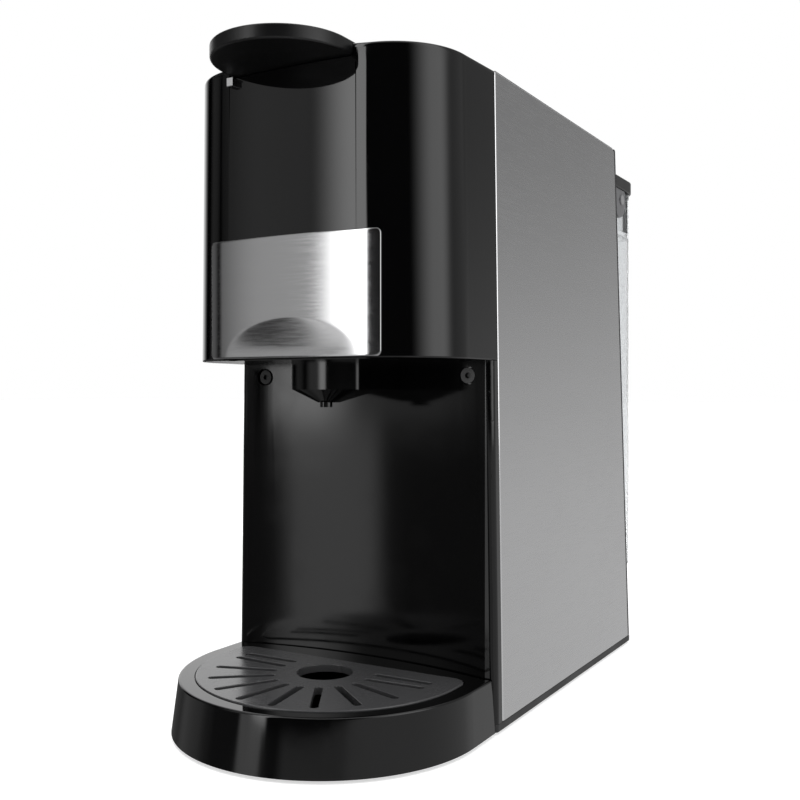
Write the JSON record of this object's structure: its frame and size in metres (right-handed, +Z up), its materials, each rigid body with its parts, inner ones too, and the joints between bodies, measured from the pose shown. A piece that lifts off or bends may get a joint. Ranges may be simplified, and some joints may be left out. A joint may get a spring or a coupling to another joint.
{
  "type": "pod coffee machine",
  "caption": "Compact pod coffee machine: round-fronted black head with lever lid over a cup bay and drip tray, steel sides, clear water tank behind.",
  "frame": {"origin": "centre of the overall box in plan, at the level the feet stand on", "axes": "+X to the right seen from the front, +Y to the back, +Z up"},
  "size_m": [0.1236, 0.2869, 0.2545],
  "materials": {
    "black_gloss": "gloss",
    "black_satin": "satin",
    "button_plastic": "satin",
    "grille_satin": "satin",
    "steel_panel": "brushed",
    "steel_badge": "brushed, bright bevels",
    "bright_metal": "polished",
    "rubber": "matte",
    "clear_tank": "clear",
    "grey_plastic": "satin",
    "white_plastic": "satin",
    "zinc_sheet": "plain",
    "cast_aluminium": "cast",
    "silicone": "translucent",
    "board_green": "satin",
    "board_parts": "matte",
    "spacer_plastic": "matte"
  },
  "bodies": {
    "machine": {"badge_plate": "steel_badge", "base_plate": "black_satin", "base_screws": "bright_metal", "bay_screws": "black_satin", "board_components": "board_parts", "board_hangers": "spacer_plastic", "board_posts": "spacer_plastic", "brew_chamber": "grey_plastic", "brew_tube": "silicone", "button_bezels": "bright_metal", "capsule_adapter": "grey_plastic", "column_shell": "black_gloss", "control_board": "board_green", "cord_gland": "black_satin", "feed_tube": "silicone", "flow_meter": "white_plastic", "head_floor": "black_gloss", "head_shell": "black_gloss", "heater_shelf": "zinc_sheet", "heater_terminals": "bright_metal", "lid_hinge_pin": "bright_metal", "outlet_duct": "grey_plastic", "pressure_tube": "silicone", "pump_body": "white_plastic", "pump_cradle": "zinc_sheet", "pump_mounts": "rubber", "rear_cover": "black_satin", "rear_screws": "bright_metal", "rubber_feet": "rubber", "side_panel_left": "steel_panel", "side_panel_right": "steel_panel", "socket_gasket": "rubber", "spout_housing": "black_gloss", "spout_nozzle": "black_gloss", "suction_tube": "silicone", "switch_board": "board_green", "tank_shelf": "black_satin", "tank_socket": "grey_plastic", "thermoblock": "cast_aluminium", "top_cover": "black_gloss"},
    "lid": {"lid_shell": "black_satin", "lid_plunger": "black_satin", "lid_seal": "rubber", "piercing_pins": "bright_metal"},
    "start_button_left": {"button_left": "button_plastic"},
    "start_button_right": {"button_right": "button_plastic"},
    "tray": {"drip_tray": "black_gloss"},
    "grille": {"drip_grille": "grille_satin"},
    "tank": {"tank_body": "clear_tank", "tank_neck": "grey_plastic", "tank_filter": "white_plastic", "tank_hinge_pin": "bright_metal", "pivot_pins": "bright_metal"},
    "tank_cover": {"tank_lid": "black_satin"},
    "carry_handle": {"tank_handle": "black_satin", "handle_ears": "grey_plastic"},
    "valve": {"valve_poppet": "grey_plastic", "valve_seal": "rubber"}
  },
  "joints": [
    {"name": "lid_hinge", "type": "hinge", "parent": "machine", "child": "lid", "pos_m": [0, -0.046, 0.25185], "axis": [-1, 0, 0], "range_deg": [0, 80]},
    {"name": "left_button_press", "type": "slide", "parent": "machine", "child": "start_button_left", "axis": [0, 0, -1], "range_m": [0, 0.0012], "stiffness_N_per_m": 500},
    {"name": "right_button_press", "type": "slide", "parent": "machine", "child": "start_button_right", "axis": [0, 0, -1], "range_m": [0, 0.0012], "stiffness_N_per_m": 500},
    {"name": "tray_slide", "type": "slide", "parent": "machine", "child": "tray", "axis": [0, -1, 0], "range_m": [0, 0.09]},
    {"name": "grille_lift", "type": "slide", "parent": "tray", "child": "grille", "axis": [0, 0, 1], "range_m": [0, 0.04]},
    {"name": "tank_lift", "type": "slide", "parent": "machine", "child": "tank", "axis": [0, 0, 1], "range_m": [0, 0.06]},
    {"name": "tank_cover_hinge", "type": "hinge", "parent": "tank", "child": "tank_cover", "pos_m": [0, 0.098, 0.241], "axis": [1, 0, 0], "range_deg": [0, 95]},
    {"name": "handle_hinge", "type": "hinge", "parent": "tank", "child": "carry_handle", "pos_m": [0, 0.1154, 0.2324], "axis": [1, 0, 0], "range_deg": [0, 90]},
    {"name": "valve_lift", "type": "slide", "parent": "tank", "child": "valve", "axis": [0, 0, 1], "range_m": [0, 0.0025]}
  ]
}
